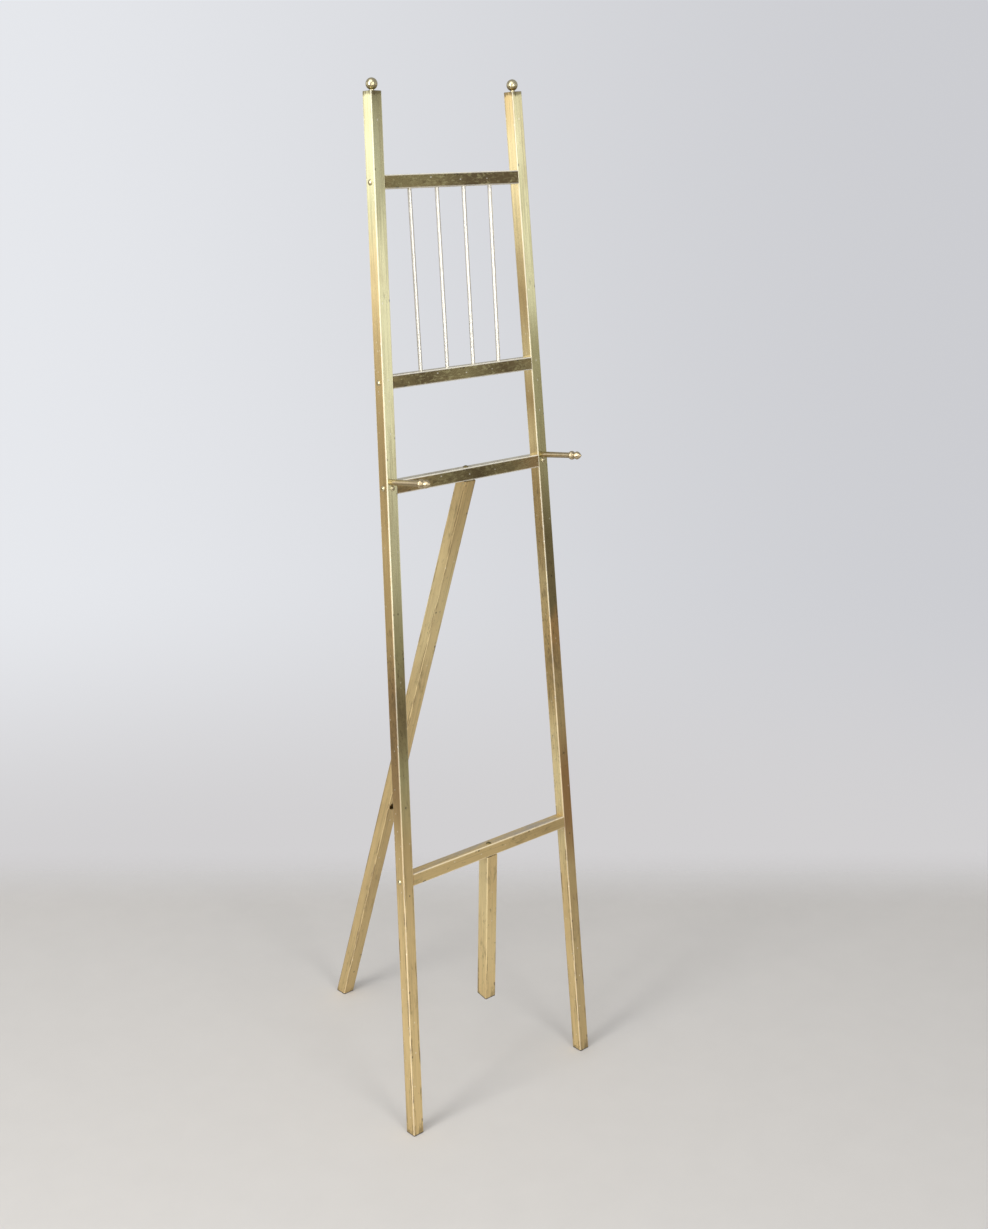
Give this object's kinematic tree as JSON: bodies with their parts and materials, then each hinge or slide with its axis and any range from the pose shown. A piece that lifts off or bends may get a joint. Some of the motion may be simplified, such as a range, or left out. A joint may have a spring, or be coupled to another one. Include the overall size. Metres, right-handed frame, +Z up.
{
  "type": "display easel",
  "caption": "Free-standing folding display easel of square brass tube, with turned pegs, a rod grille, ball finials and a hinged rear leg.",
  "frame": {"origin": "on the floor, under the middle of the standing easel's bounding box", "axes": "+Z up; +X to the easel's right seen from the front; +Y to the back, so the pegs and the front face -Y"},
  "size_m": [0.398, 0.4614, 1.6267],
  "materials": {
    "tube_brass": "aged, satin polish",
    "tube_brass_matt": "aged, dull",
    "turned_brass": "polished, lightly tarnished",
    "fastener_brass": "polished",
    "fitting_brass": "as machined",
    "rod_brass": "bright, pale",
    "dark_plastic": "matt"
  },
  "bodies": {
    "front_frame": {"grille_rod_1": "rod_brass", "grille_rod_2": "rod_brass", "grille_rod_3": "rod_brass", "grille_rod_4": "rod_brass", "left_finial": "turned_brass", "left_foot": "dark_plastic", "left_leg": "tube_brass", "left_leg_cap": "tube_brass", "left_peg": "turned_brass", "left_peg_block": "fitting_brass", "lower_bar": "tube_brass_matt", "lower_bar_plugs": "fitting_brass", "lower_bar_screws": "fastener_brass", "middle_bar": "tube_brass", "middle_bar_plugs": "fitting_brass", "middle_bar_screws": "fastener_brass", "peg_bar": "tube_brass", "peg_bar_plugs": "fitting_brass", "peg_bar_screws": "fastener_brass", "peg_block_screws": "fastener_brass", "rear_leg_hinge_bolt": "fastener_brass", "rear_leg_hinge_lug": "fitting_brass", "right_finial": "turned_brass", "right_foot": "dark_plastic", "right_leg": "tube_brass", "right_leg_cap": "tube_brass", "right_peg": "turned_brass", "right_peg_block": "fitting_brass", "stay_hinge_bolt": "fastener_brass", "stay_hinge_lug": "fitting_brass", "top_bar": "tube_brass", "top_bar_plugs": "fitting_brass", "top_bar_screws": "fastener_brass"},
    "rear_leg": {"rear_leg": "tube_brass_matt", "rear_foot": "dark_plastic", "rear_leg_pin": "fitting_brass"},
    "stay": {"stay": "tube_brass_matt", "stay_end_plug": "dark_plastic", "stay_pin": "fitting_brass"}
  },
  "joints": [
    {"name": "rear_leg_fold", "type": "hinge", "parent": "front_frame", "child": "rear_leg", "pos_m": [0, -0.13944, 1.03288], "axis": [-1, 0, 0], "range_deg": [0, 18.5]},
    {"name": "stay_swing", "type": "hinge", "parent": "front_frame", "child": "stay", "pos_m": [0, -0.18133, 0.41627], "axis": [1, 0, 0], "range_deg": [0, 5]}
  ]
}
